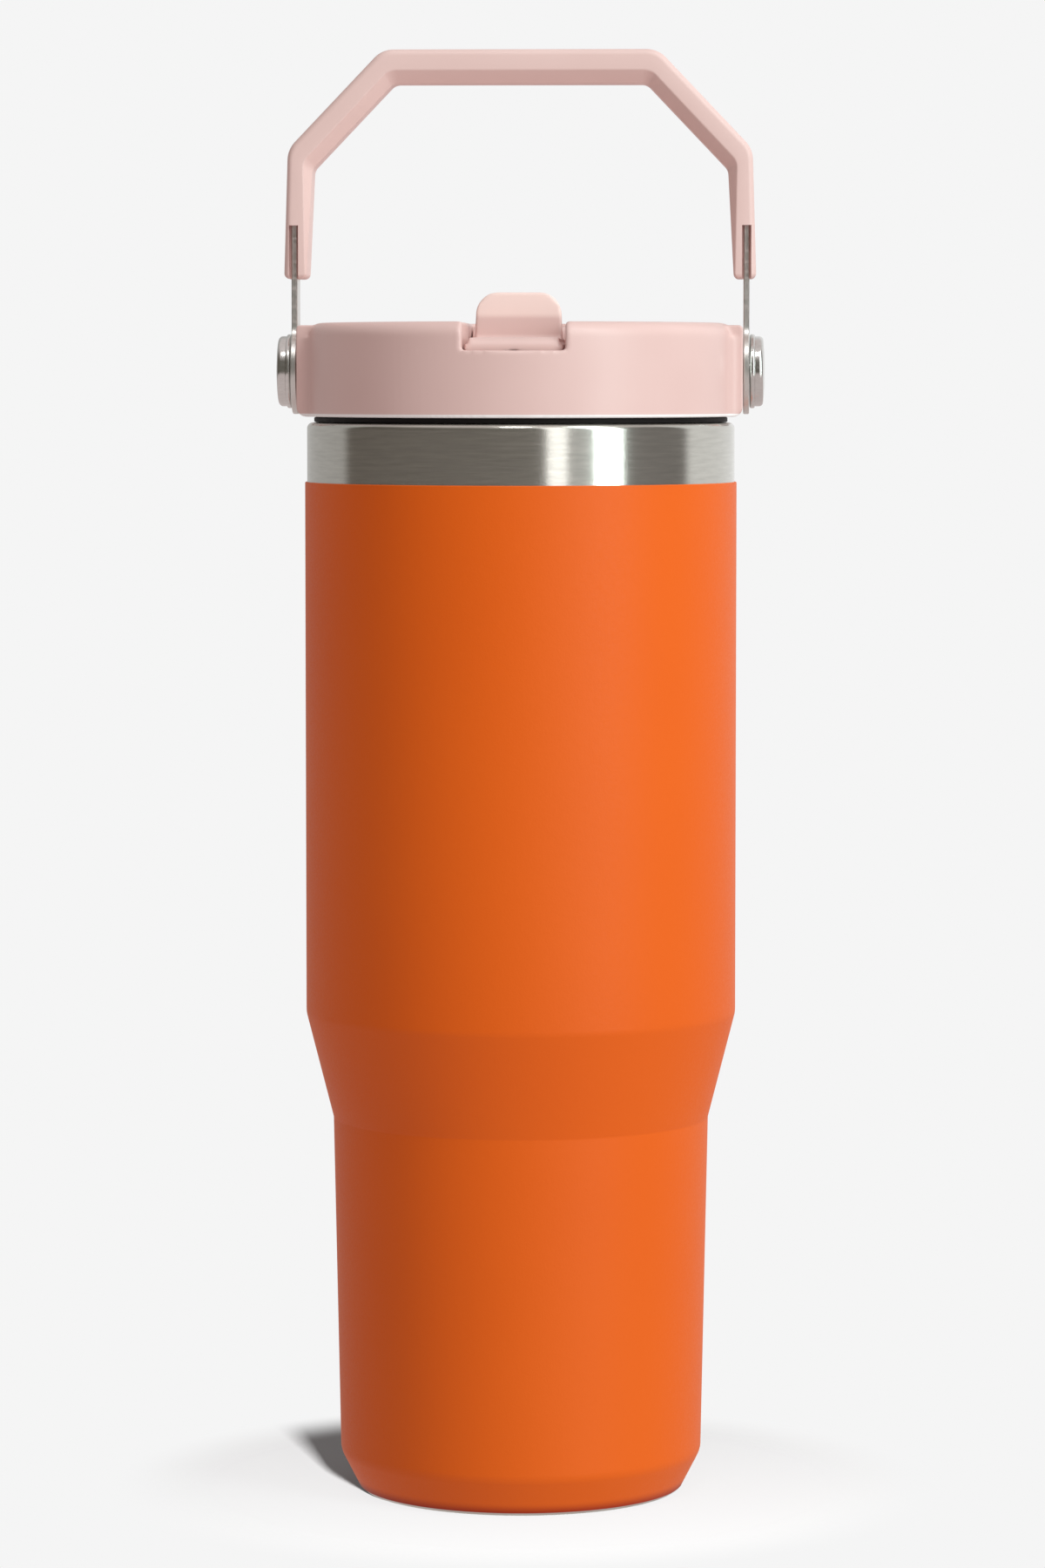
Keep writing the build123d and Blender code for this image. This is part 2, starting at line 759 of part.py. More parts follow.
with BuildPart() as handle_grip:
    with BuildSketch(Plane.XZ):
        with BuildLine():
            outer = arch(
                grip_foot_x,
                grip_knee_x,
                grip_knee_z,
                grip_corner_x,
                grip_top_z,
                grip_outer_round,
            )
            inner = arch(
                grip_foot_x - arm_t,
                inner_knee_x,
                inner_knee_z,
                inner_corner_x,
                grip_top_z - bar_t,
                grip_inner_round,
            )
            Line(outer @ 0, inner @ 0)
            Line(outer @ 1, inner @ 1)
        make_face()
    extrude(amount=grip_depth / 2, both=True)
    # The side that the fingers hold is bevelled, the outside is rounded.
    hand_centre = Vector(0, 0, (grip_foot_z + grip_top_z) / 2)
    long_faces = handle_grip.faces().filter_by(lambda face: abs(face.normal_at().Y) < 0.1)
    foot_faces = long_faces.filter_by(lambda face: face.normal_at().Z < -0.99 and face.center().Z < grip_knee_z)
    long_faces = long_faces - foot_faces
    hand_faces = long_faces.filter_by(lambda face: face.normal_at().dot(hand_centre - face.center()) > 0)
    back_faces = long_faces.filter_by(lambda face: face.normal_at().dot(hand_centre - face.center()) < 0)
    hand_edges = hand_faces.edges().filter_by(lambda edge: abs(edge.center().Y) > grip_depth / 2 - 0.1)
    back_edges = back_faces.edges().filter_by(lambda edge: abs(edge.center().Y) > grip_depth / 2 - 0.1)
    chamfer(hand_edges, grip_bevel)
    fillet(back_edges, grip_edge_round)
    # Each arm has a slot in its front and back, and a deeper pocket that grips the strap.
    for side in (-1, 1):
        for face in (-1, 1):
            with BuildSketch(Plane.XZ.offset(face * slot_floor_y)):
                with Locations((side * (bracket_x + bracket_t / 2), grip_foot_z)):
                    Rectangle(slot_w, slot_top_z - grip_foot_z, align=(Align.CENTER, Align.MIN))
            extrude(amount=face * grip_depth, mode=Mode.SUBTRACT)
        with BuildSketch(Plane.YZ.offset(side * bracket_x)):
            with Locations((0, grip_foot_z)):
                Rectangle(bracket_w, bracket_top_z - grip_foot_z, align=(Align.CENTER, Align.MIN))
        extrude(amount=side * bracket_t, mode=Mode.SUBTRACT)
save(handle_grip.part, "handle_grip")
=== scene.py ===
import json
import math
import random

import bmesh
import bpy
from mathutils import Matrix, Vector
from mathutils.geometry import tessellate_polygon

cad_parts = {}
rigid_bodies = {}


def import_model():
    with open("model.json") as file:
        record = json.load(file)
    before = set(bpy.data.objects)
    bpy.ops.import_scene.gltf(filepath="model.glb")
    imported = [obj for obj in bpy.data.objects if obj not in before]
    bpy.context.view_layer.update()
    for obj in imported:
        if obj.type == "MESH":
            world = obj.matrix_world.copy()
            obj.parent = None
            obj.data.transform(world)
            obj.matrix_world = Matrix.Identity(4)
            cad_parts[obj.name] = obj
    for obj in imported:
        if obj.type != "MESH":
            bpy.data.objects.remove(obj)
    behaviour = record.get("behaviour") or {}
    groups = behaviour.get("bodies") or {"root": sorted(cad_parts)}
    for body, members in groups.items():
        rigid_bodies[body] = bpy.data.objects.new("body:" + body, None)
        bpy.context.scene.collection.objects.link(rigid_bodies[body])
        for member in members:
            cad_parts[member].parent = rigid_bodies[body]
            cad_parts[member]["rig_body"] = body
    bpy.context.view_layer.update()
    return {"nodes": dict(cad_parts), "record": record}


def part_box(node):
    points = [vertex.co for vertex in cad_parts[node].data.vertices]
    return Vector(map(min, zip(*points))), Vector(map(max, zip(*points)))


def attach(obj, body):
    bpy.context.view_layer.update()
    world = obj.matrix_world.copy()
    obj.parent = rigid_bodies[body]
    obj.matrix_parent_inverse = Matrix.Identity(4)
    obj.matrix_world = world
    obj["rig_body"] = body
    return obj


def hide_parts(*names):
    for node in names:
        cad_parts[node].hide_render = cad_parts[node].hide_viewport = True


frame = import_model()

# Insulated tumbler. Metres; one millimetre is MM. Z is up, the spout points to -Y.
MM = 0.001

# ---------------------------------------------------------------- sizes from the frame

coat_low, coat_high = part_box("powder_coat")
_, shell_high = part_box("outer_shell")
grip_low, grip_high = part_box("handle_grip")
cover_low, cover_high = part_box("lid_cover")
bracket_low, bracket_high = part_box("bracket_right")
cap_low, cap_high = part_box("rivet_cap_right")
washer_low, washer_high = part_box("pivot_washer_right")
gasket_low, gasket_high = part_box("rim_gasket")

# Radii and heights of the coat, the bare steel band, the pivots and the lid cover
BODY_R = coat_high.x
BAND_R = shell_high.x
COAT_T = BODY_R - BAND_R
COAT_TOP_Z = coat_high.z
RIM_Z = shell_high.z
PIVOT_Z = (cap_low.z + cap_high.z) / 2
COVER_LOW_Z = cover_low.z
COVER_TOP_Z = cover_high.z

# Outline of the coated body, from the foot to its straight upper wall
FOOT_R = 33.4 * MM
BASE_R = 37.5 * MM
BASE_Z = 8.0 * MM
WAIST_R = 38.9 * MM
WAIST_Z = 77.6 * MM
SHOULDER_Z = 99.5 * MM
SIDE_ROUNDS = (5.0 * MM, 1.5 * MM, 6.0 * MM)

# The coat's upper edge, the shell with its rim, and the seal under the lid
COAT_LIP_ROUND = 0.28 * MM
SHELL_T = 0.7 * MM
RIM_T = 0.8 * MM
RIM_ROUND = 1.2 * MM
LINER_R = 41.3 * MM
SEAL_BORE_R = 39.2 * MM
SEAL_LIP_T = 0.6 * MM
SEAL_GROOVE = 0.5 * MM

# How finely round shapes are cut, and the angles above which an edge stays crisp
ROUND_STEPS = 10
BODY_AROUND = 288
PIVOT_AROUND = 128
CRISP_DEG = 32
PLATE_CRISP_DEG = 28
MOULDING_CRISP_DEG = 70
ON_AXIS = 1e-7


# ---------------------------------------------------------------- mesh helpers


def rounded(corners, radii, closed=False, steps=ROUND_STEPS):
    """Points of a 2-D line through corners, each corner turned with its own radius."""
    points = []
    count = len(corners)
    for i, corner in enumerate(corners):
        here = Vector(corner)
        radius = radii[i]
        if radius <= 0 or (not closed and i in (0, count - 1)):
            points.append(here)
            continue
        back = Vector(corners[i - 1]) - here
        ahead = Vector(corners[(i + 1) % count]) - here
        half = back.angle(ahead) / 2
        cut = min(radius / math.tan(half), 0.499 * back.length, 0.499 * ahead.length)
        radius = cut * math.tan(half)
        start = here + back.normalized() * cut
        end = here + ahead.normalized() * cut
        centre = here + (back.normalized() + ahead.normalized()).normalized() * (radius / math.sin(half))
        first = start - centre
        turn = first.angle_signed(end - centre)
        for step in range(steps + 1):
            angle = -turn * step / steps
            spun = Matrix.Rotation(angle, 2) @ first
            points.append(centre + spun)
    return points


def shade(mesh, crisp_deg):
    """Smooth shading with the edges sharper than crisp_deg kept crisp."""
    mesh.polygons.foreach_set("use_smooth", [True] * len(mesh.polygons))
    mesh.set_sharp_from_angle(angle=math.radians(crisp_deg))


def new_piece(name, vertices, faces, material):
    """A mesh object, smooth except along its sharp edges."""
    mesh = bpy.data.meshes.new(name)
    mesh.from_pydata([tuple(v) for v in vertices], [], faces)
    mesh.validate()
    mesh.materials.append(material)
    shade(mesh, CRISP_DEG)
    piece = bpy.data.objects.new(name, mesh)
    bpy.context.scene.collection.objects.link(piece)
    return piece


def lathe(name, outline, material, place=Matrix.Identity(4), around=BODY_AROUND):
    """Turns a closed outline of (radius, height) points round Z, then puts it in its place."""
    vertices = []
    rings = []
    for radius, height in outline:
        if radius < ON_AXIS:
            rings.append([len(vertices)])
            vertices.append(place @ Vector((0, 0, height)))
            continue
        rings.append(list(range(len(vertices), len(vertices) + around)))
        for i in range(around):
            angle = math.tau * i / around
            vertices.append(place @ Vector((radius * math.cos(angle), radius * math.sin(angle), height)))
    faces = []
    for a, b in zip(rings, rings[1:] + rings[:1]):
        if len(a) == 1 and len(b) == 1:
            continue
        for i in range(around):
            j = (i + 1) % around
            if len(a) == 1:
                faces.append((a[0], b[j], b[i]))
            elif len(b) == 1:
                faces.append((a[i], a[j], b[0]))
            else:
                faces.append((a[i], a[j], b[j], b[i]))
    return new_piece(name, vertices, faces, material)


def body_side(inset, top_z):
    """Half outline of the body from the foot to top_z, moved inwards by inset."""
    return [
        (FOOT_R - inset, 0),
        (BASE_R - inset, BASE_Z),
        (WAIST_R - inset, WAIST_Z),
        (BODY_R - inset, SHOULDER_Z),
        (BODY_R - inset, top_z),
    ]


# ---------------------------------------------------------------- material helpers

# Nearly all of a noise texture's values lie between these two
NOISE_LOW = 0.3
NOISE_HIGH = 0.7


class Nodes:
    """Builds one material's node tree: a Principled shader plus what feeds it."""

    def __init__(self, name, **settings):
        self.material = bpy.data.materials.new(name)
        self.material.use_nodes = True
        self.tree = self.material.node_tree
        self.shader = self.tree.nodes["Principled BSDF"]
        for socket, value in settings.items():
            self.shader.inputs[socket.replace("_", " ")].default_value = value
        self.coords = self.tree.nodes.new("ShaderNodeTexCoord").outputs["Object"]

    def node(self, kind, settings=None, **inputs):
        """A new node; settings are its properties, and inputs its sockets by name or as i0, i1."""
        made = self.tree.nodes.new(kind)
        for key, value in (settings or {}).items():
            setattr(made, key, value)
        for key, value in inputs.items():
            numbered = key[0] == "i" and key[1:].isdigit()
            socket = made.inputs[int(key[1:]) if numbered else key]
            if isinstance(value, bpy.types.NodeSocket):
                self.tree.links.new(value, socket)
            else:
                socket.default_value = value
        return made

    def stretched(self, x, y, z):
        """Object coordinates scaled on each axis."""
        made = self.node("ShaderNodeMapping", Vector=self.coords, Scale=(x, y, z))
        return made.outputs["Vector"]

    def noise(self, vector, scale, detail, roughness=0.55):
        """Smooth noise; scale counts its blotches per metre of the vector."""
        made = self.node(
            "ShaderNodeTexNoise", Vector=vector, Scale=scale, Detail=detail, Roughness=roughness
        )
        return made.outputs["Fac"]

    def spread(self, value, low, high):
        """A noise value mapped to low..high."""
        made = self.node("ShaderNodeMapRange", Value=value)
        made.inputs["From Min"].default_value = NOISE_LOW
        made.inputs["From Max"].default_value = NOISE_HIGH
        made.inputs["To Min"].default_value = low
        made.inputs["To Max"].default_value = high
        return made.outputs["Result"]

    def tint(self, value, first, second):
        """A colour between first and second, chosen by a noise value."""
        ramp = self.tree.nodes.new("ShaderNodeValToRGB")
        ramp.color_ramp.elements[0].color = (*first, 1)
        ramp.color_ramp.elements[0].position = NOISE_LOW
        ramp.color_ramp.elements[1].color = (*second, 1)
        ramp.color_ramp.elements[1].position = NOISE_HIGH
        self.tree.links.new(value, ramp.inputs["Fac"])
        return ramp.outputs["Color"]

    def by_height(self, low_z, high_z):
        """0 below low_z rising to 1 above high_z."""
        split = self.node("ShaderNodeSeparateXYZ", Vector=self.coords)
        rise = self.node("ShaderNodeMapRange", {"interpolation_type": "SMOOTHSTEP"}, Value=split.outputs["Z"])
        rise.inputs["From Min"].default_value = low_z
        rise.inputs["From Max"].default_value = high_z
        return rise.outputs["Result"]

    def blend(self, factor, first, second):
        """first where factor is 0, second where it is 1; either may be a colour or a socket."""
        mixed = self.tree.nodes.new("ShaderNodeMix")
        mixed.data_type = "RGBA"
        self.tree.links.new(factor, mixed.inputs["Factor"])
        for socket, value in (("A", first), ("B", second)):
            if isinstance(value, bpy.types.NodeSocket):
                self.tree.links.new(value, mixed.inputs[socket])
            else:
                mixed.inputs[socket].default_value = (*value, 1)
        return mixed.outputs["Result"]

    def bump(self, height, strength, distance, under=None):
        """A normal tilted by height, on top of another normal if there is one under it."""
        made = self.node("ShaderNodeBump", Height=height, Strength=strength, Distance=distance)
        if under is not None:
            self.tree.links.new(under, made.inputs["Normal"])
        return made.outputs["Normal"]

    def feed(self, **links):
        """Links outputs to the shader's sockets by name."""
        for socket, value in links.items():
            self.tree.links.new(value, self.shader.inputs[socket.replace("_", " ")])


def powder_coat_paint():
    """Matt orange powder coat: fine grain over a soft orange peel, and painted shade darkening it at the
    foot.
    """
    m = Nodes("powder_coat_paint", IOR=1.5, Specular_IOR_Level=0.25)
    grain = m.noise(m.coords, 2600, 2.0)
    peel = m.noise(m.coords, 420, 2.0)
    cloud = m.noise(m.coords, 14, 2.0)
    paint = m.tint(cloud, (0.77, 0.114, 0.0030), (0.80, 0.124, 0.0040))
    # Painted shade: a deep red band in the bottom few millimetres, where the coat turns under the foot.
    painted_foot_shade = (0.29, 0.005, 0.001)
    m.feed(
        Base_Color=m.blend(m.by_height(-0.1 * MM, 2.9 * MM), painted_foot_shade, paint),
        Roughness=m.spread(grain, 0.44, 0.58),
        Normal=m.bump(grain, 0.35, 0.06 * MM, m.bump(peel, 0.25, 0.10 * MM)),
    )
    return m.material


def brushed_steel(name, roughness, colour):
    """Steel brushed round the Z axis: long fine scratches and a stretched highlight."""
    m = Nodes(name, Metallic=1.0, Anisotropic=0.85, Anisotropic_Rotation=0.25)
    tangent = m.node("ShaderNodeTangent", {"direction_type": "RADIAL", "axis": "Z"})
    split = m.node("ShaderNodeSeparateXYZ", Vector=m.coords)
    turn = m.node("ShaderNodeMath", {"operation": "ARCTAN2"}, i0=split.outputs["Y"], i1=split.outputs["X"])
    unrolled = m.node("ShaderNodeCombineXYZ", X=turn.outputs[0], Y=split.outputs["Z"])

    def brushed(around, upright, detail, sharpness):
        """Noise with so many blotches round the wall per radian, and up it per metre."""
        drawn = m.node("ShaderNodeMapping", Vector=unrolled.outputs[0], Scale=(around, upright, 1))
        return m.noise(drawn.outputs[0], 1.0, detail, sharpness)

    scratches = brushed(2.2, 9000, 5.0, 0.7)
    bands = brushed(6.0, 1400, 4.0, 0.6)
    ripples = brushed(45, 2600, 3.0, 0.6)
    darker = tuple(c * 0.86 for c in colour)
    m.feed(
        Base_Color=m.tint(bands, darker, colour),
        Roughness=m.spread(scratches, roughness * 0.85, roughness * 1.2),
        Tangent=tangent.outputs[0],
        Normal=m.bump(scratches, 0.25, 0.01 * MM, m.bump(ripples, 0.35, 0.02 * MM)),
    )
    return m.material


def polished_steel():
    """Bright steel with faint polishing smears."""
    m = Nodes("polished_steel", Metallic=1.0)
    smear = m.noise(m.stretched(1, 1, 3), 900, 4.0)
    m.feed(
        Base_Color=m.tint(smear, (0.62, 0.61, 0.59), (0.68, 0.67, 0.65)),
        Roughness=m.spread(smear, 0.10, 0.22),
        Normal=m.bump(smear, 0.12, 0.02 * MM),
    )
    return m.material


def bracket_steel():
    """Polished strap with the short upright marks of a sheared edge."""
    m = Nodes("bracket_steel", Metallic=1.0)
    shear = m.noise(m.stretched(5, 5, 1), 700, 4.0)
    m.feed(
        Base_Color=m.tint(shear, (0.62, 0.61, 0.58), (0.72, 0.71, 0.68)),
        Roughness=m.spread(shear, 0.28, 0.40),
        Normal=m.bump(shear, 0.15, 0.03 * MM),
    )
    return m.material


def pink_plastic(name, first, second, roughness, painted_highlight_below_z=None, painted_light_above_z=None):
    """Satin moulded plastic with a faint grain; it may carry a painted highlight along its lower edge and a
    painted lighter tone on top, where light falls.
    """
    m = Nodes(name, IOR=1.48)
    grain = m.noise(m.coords, 3800, 2.0)
    flow = m.noise(m.coords, 40, 2.0)
    tone = m.tint(flow, first, second)
    # Painted highlight: a near-white line along the lower edge.
    if painted_highlight_below_z is not None:
        above = m.by_height(painted_highlight_below_z, painted_highlight_below_z + 0.2 * MM)
        tone = m.blend(above, (1.0, 0.97, 0.96), tone)
    # Painted light: a lighter tone on what stands above the lid's top, such as the thumb tab.
    if painted_light_above_z is not None:
        above = m.by_height(painted_light_above_z, painted_light_above_z + 1.5 * MM)
        tone = m.blend(above, tone, m.tint(flow, (0.93, 0.71, 0.66), (0.95, 0.73, 0.68)))
    m.feed(
        Base_Color=tone,
        Roughness=m.spread(grain, roughness * 0.9, roughness * 1.15),
        Normal=m.bump(grain, 0.18, 0.02 * MM),
    )
    return m.material


def rubber(name, first, second, roughness):
    """Matt silicone with a faint bloom."""
    m = Nodes(name, IOR=1.42, Specular_IOR_Level=0.3)
    bloom = m.noise(m.coords, 600, 3.0)
    m.feed(
        Base_Color=m.tint(bloom, first, second),
        Roughness=m.spread(bloom, roughness * 0.9, roughness * 1.1),
        Normal=m.bump(bloom, 0.2, 0.03 * MM),
    )
    return m.material


def straw_plastic():
    """Milky plastic tube with long marks from the extruder."""
    m = Nodes("straw_plastic", IOR=1.49, Transmission_Weight=0.5, Roughness=0.2)
    draw = m.noise(m.stretched(1, 1, 0.02), 2500, 2.0)
    m.feed(
        Base_Color=m.tint(draw, (0.86, 0.83, 0.81), (0.91, 0.89, 0.87)),
        Normal=m.bump(draw, 0.1, 0.02 * MM),
    )
    return m.material


def dull_metal(name, first, second):
    """Grey metal with a porous skin."""
    m = Nodes(name, Metallic=1.0)
    pores = m.noise(m.coords, 1500, 4.0)
    m.feed(
        Base_Color=m.tint(pores, first, second),
        Roughness=m.spread(pores, 0.5, 0.7),
        Normal=m.bump(pores, 0.4, 0.05 * MM),
    )
    return m.material


MATERIALS = {
    "powder_coat": powder_coat_paint(),
    "body_steel": brushed_steel("body_steel", 0.20, (0.63, 0.62, 0.57)),
    "liner_steel": brushed_steel("liner_steel", 0.32, (0.66, 0.655, 0.645)),
    "polished_steel": polished_steel(),
    "bracket_steel": bracket_steel(),
    "getter_metal": dull_metal("getter_metal", (0.20, 0.19, 0.19), (0.30, 0.29, 0.28)),
    "seal_metal": dull_metal("seal_metal", (0.40, 0.40, 0.39), (0.52, 0.51, 0.50)),
    # The lid plastic carries a painted highlight along the cover's lower edge and painted light on the tab
    # above its top.
    "lid_plastic": pink_plastic(
        "lid_plastic", (0.735, 0.505, 0.472), (0.765, 0.535, 0.502), 0.40,
        painted_highlight_below_z=COVER_LOW_Z + 0.55 * MM, painted_light_above_z=COVER_TOP_Z + 0.5 * MM,
    ),
    "grip_plastic": pink_plastic("grip_plastic", (0.76, 0.54, 0.505), (0.79, 0.57, 0.535), 0.44),
    "plug_plastic": pink_plastic("plug_plastic", (0.72, 0.52, 0.48), (0.75, 0.55, 0.51), 0.45),
    # Near-black rim seal: the seal is a real part, and its near-black colour stands in for the shade in the
    # gap under the lid (painted shade).
    "dark_silicone": rubber("dark_silicone", (0.004, 0.003, 0.003), (0.008, 0.006, 0.006), 0.6),
    "pale_silicone": rubber("pale_silicone", (0.70, 0.70, 0.68), (0.76, 0.76, 0.74), 0.45),
    "straw_plastic": straw_plastic(),
}
SLOT_OF = {row["node"]: row["material_slot"] for row in frame["record"]["subparts"]}

for node, slot in SLOT_OF.items():
    shown = frame["nodes"][node]
    shown.data.materials.clear()
    shown.data.materials.append(MATERIALS[slot])


def fit(piece, *nodes):
    """Makes a piece stand for CAD nodes: it joins the first node's body, and the nodes are hidden."""
    owner = frame["nodes"][nodes[0]]["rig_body"]
    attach(piece, owner)
    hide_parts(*nodes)
    return piece


# ---------------------------------------------------------------- bottle


def make_coat():
    """The coat as a thin skin; its top edge is a soft lip over the bare rim."""
    top = [(BODY_R, COAT_TOP_Z), (BAND_R, COAT_TOP_Z)]
    outer = rounded(body_side(0, COAT_TOP_Z)[:-1] + top, (0, *SIDE_ROUNDS, COAT_LIP_ROUND, 0))
    inner = rounded(body_side(COAT_T, COAT_TOP_Z), (0, *SIDE_ROUNDS, 0))
    foot_z = coat_low.z
    foot_lean = (BASE_R - FOOT_R) * foot_z / BASE_Z
    outer = [Vector((outer[0].x + foot_lean, foot_z))] + outer[1:]
    inner = [Vector((inner[0].x + foot_lean, foot_z))] + inner[1:]
    return fit(lathe("coat_skin", outer + inner[-2::-1], MATERIALS["powder_coat"]), "powder_coat")


def make_shell():
    """Steel shell with its bare band and a rounded rim that turns in to the liner."""
    under_z = RIM_Z - RIM_T
    outer = rounded(
        body_side(COAT_T, RIM_Z) + [(LINER_R, RIM_Z)],
        (0, *SIDE_ROUNDS, RIM_ROUND, 0),
    )
    inner = rounded(
        body_side(COAT_T + SHELL_T, under_z) + [(LINER_R, under_z)],
        (0, *SIDE_ROUNDS, RIM_ROUND / 3, 0),
    )
    return fit(lathe("steel_shell", outer + inner[::-1], MATERIALS["body_steel"]), "outer_shell")


def make_gasket():
    """Rim seal: two soft lips with a groove between them."""
    low, high = gasket_low.z, gasket_high.z
    outer_r = gasket_high.x
    lip_round, groove_round, bore_round = 0.35 * MM, 0.2 * MM, 0.1 * MM
    outline = rounded(
        [
            (SEAL_BORE_R, low), (outer_r, low), (outer_r, low + SEAL_LIP_T),
            (outer_r - SEAL_GROOVE, (low + high) / 2),
            (outer_r, high - SEAL_LIP_T), (outer_r, high), (SEAL_BORE_R, high),
        ],
        (bore_round, lip_round, groove_round, groove_round, groove_round, lip_round, bore_round),
        closed=True,
        steps=5,
    )
    return fit(lathe("rim_seal", outline, MATERIALS["dark_silicone"]), "rim_gasket")


make_coat()
make_shell()
make_gasket()

# ---------------------------------------------------------------- handle

# Outer outline of the grip, from its feet over the knees to the top corners
HALF_DEPTH = (grip_high.y - grip_low.y) / 2
FOOT_X = grip_high.x
KNEE = Vector((47.6, 277.2)) * MM
CORNER_X = 28.2 * MM
OUTER_TURN = 5.5 * MM

# Inner outline, and how thick the grip is between the two
INNER_KNEE = Vector((42.6, 273.1)) * MM
INNER_CORNER_X = 25.9 * MM
INNER_TURN = 2.5 * MM
ARM_T = 4.6 * MM
BAR_T = 6.9 * MM

# Edges of the grip's section
OUTER_EDGE_ROUND = 1.3 * MM
INNER_EDGE_ROUND = 0.6 * MM
ARM_BEVEL = 1.3 * MM
BAR_BEVEL = 2.7 * MM
FOOT_BEVEL = 0.3 * MM
FOOT_ROUND = 1.1 * MM
FOOT_STEPS = 6

# Slots for the straps
SLOT_W = 1.9 * MM
SLOT_FLOOR_Y = 3.6 * MM
SLOT_TOP_Z = 261.7 * MM


def arch(foot_x, knee, corner_x, top_z, turn):
    """A five-sided arch from the left foot to the right foot, its corners turned."""
    corners = [
        (-foot_x, grip_low.z), (-knee.x, knee.y), (-corner_x, top_z),
        (corner_x, top_z), (knee.x, knee.y), (foot_x, grip_low.z),
    ]
    return rounded(corners, (0, turn, turn, turn, turn, 0), steps=12)


def grip_section(start, across, bevel, inset):
    """One closed ring round the grip, from its outer line at start to its inner line."""
    width = across.length
    side = across.normalized()
    corners = [
        (0, -HALF_DEPTH), (width - bevel, -HALF_DEPTH), (width, -HALF_DEPTH + bevel),
        (width, HALF_DEPTH - bevel), (width - bevel, HALF_DEPTH), (0, HALF_DEPTH),
    ]
    rounds = (OUTER_EDGE_ROUND, *[INNER_EDGE_ROUND] * 4, OUTER_EDGE_ROUND)
    placed = []
    for along, y in rounded(corners, rounds, closed=True, steps=5):
        along = width / 2 + (along - width / 2) * (1 - 2 * inset / width)
        y = y * (1 - inset / HALF_DEPTH)
        placed.append(Vector((start.x + side.x * along, y, start.y + side.y * along)))
    return placed


def loft(name, rings, material):
    """Closed skin over rings that all have the same number of points."""
    count = len(rings[0])
    vertices = [v for ring in rings for v in ring]
    faces = [tuple(range(count))]
    for r in range(len(rings) - 1):
        for i in range(count):
            j = (i + 1) % count
            faces.append((r * count + i, (r + 1) * count + i, (r + 1) * count + j, r * count + j))
    last = (len(rings) - 1) * count
    faces.append(tuple(range(last + count - 1, last - 1, -1)))
    return new_piece(name, vertices, faces, material)


def carve(piece, cutters):
    """Cuts closed pieces out of a piece and removes them."""
    for cutter in cutters:
        cut = piece.modifiers.new("cut", "BOOLEAN")
        cut.operation = "DIFFERENCE"
        cut.solver = "EXACT"
        cut.object = cutter
    bake(piece)
    for cutter in cutters:
        bpy.data.objects.remove(cutter)


def bake(piece, crisp_deg=CRISP_DEG):
    """Applies a piece's modifiers to its mesh."""
    seen = piece.evaluated_get(bpy.context.evaluated_depsgraph_get())
    mesh = bpy.data.meshes.new_from_object(seen)
    piece.modifiers.clear()
    piece.data = mesh
    shade(mesh, crisp_deg)


def slot_cutter(low, high):
    """Closed box between two corners that cuts one slot."""
    xs, ys, zs = zip(low, high)
    vertices = [(x, y, z) for x in xs for y in ys for z in zs]
    faces = [(0, 1, 3, 2), (4, 6, 7, 5), (0, 4, 5, 1), (2, 3, 7, 6), (0, 2, 6, 4), (1, 5, 7, 3)]
    return new_piece("slot_cutter", vertices, faces, MATERIALS["grip_plastic"])


def make_grip():
    """Grip swept along the arch: flat outside, bevelled inside, with slots for the straps."""
    outer = arch(FOOT_X, KNEE, CORNER_X, grip_high.z, OUTER_TURN)
    inner = arch(FOOT_X - ARM_T, INNER_KNEE, INNER_CORNER_X, grip_high.z - BAR_T, INNER_TURN)
    rings = []
    for out_point, in_point in list(zip(outer, inner))[1:-1]:
        across = in_point - out_point
        thick = max(0.0, min(1.0, (across.length - ARM_T) / (BAR_T - ARM_T)))
        rings.append(grip_section(out_point, across, ARM_BEVEL + (BAR_BEVEL - ARM_BEVEL) * thick, 0))
    left_foot, right_foot = [], []
    for step in range(FOOT_STEPS + 1):
        angle = math.pi / 2 * step / FOOT_STEPS
        inset = FOOT_ROUND * (1 - math.sin(angle))
        z = grip_low.z + FOOT_ROUND * (1 - math.cos(angle))
        lean = (FOOT_X - KNEE.x) * (z - grip_low.z) / (KNEE.y - grip_low.z)
        for side, foot in ((-1, left_foot), (1, right_foot)):
            start = Vector((side * (FOOT_X - lean), z))
            foot.append(grip_section(start, Vector((-side * ARM_T, 0)), FOOT_BEVEL, inset))
    piece = loft("carry_grip", left_foot + rings + right_foot[::-1], MATERIALS["grip_plastic"])
    strap_x = (bracket_low.x + bracket_high.x) / 2
    cutters = []
    for side in (-1, 1):
        middle = side * strap_x
        for near, far in ((-2 * HALF_DEPTH, -SLOT_FLOOR_Y), (SLOT_FLOOR_Y, 2 * HALF_DEPTH)):
            cutters.append(slot_cutter(
                (middle - SLOT_W / 2, near, grip_low.z - 1 * MM),
                (middle + SLOT_W / 2, far, SLOT_TOP_Z),
            ))
    carve(piece, cutters)
    return fit(piece, "handle_grip")


make_grip()


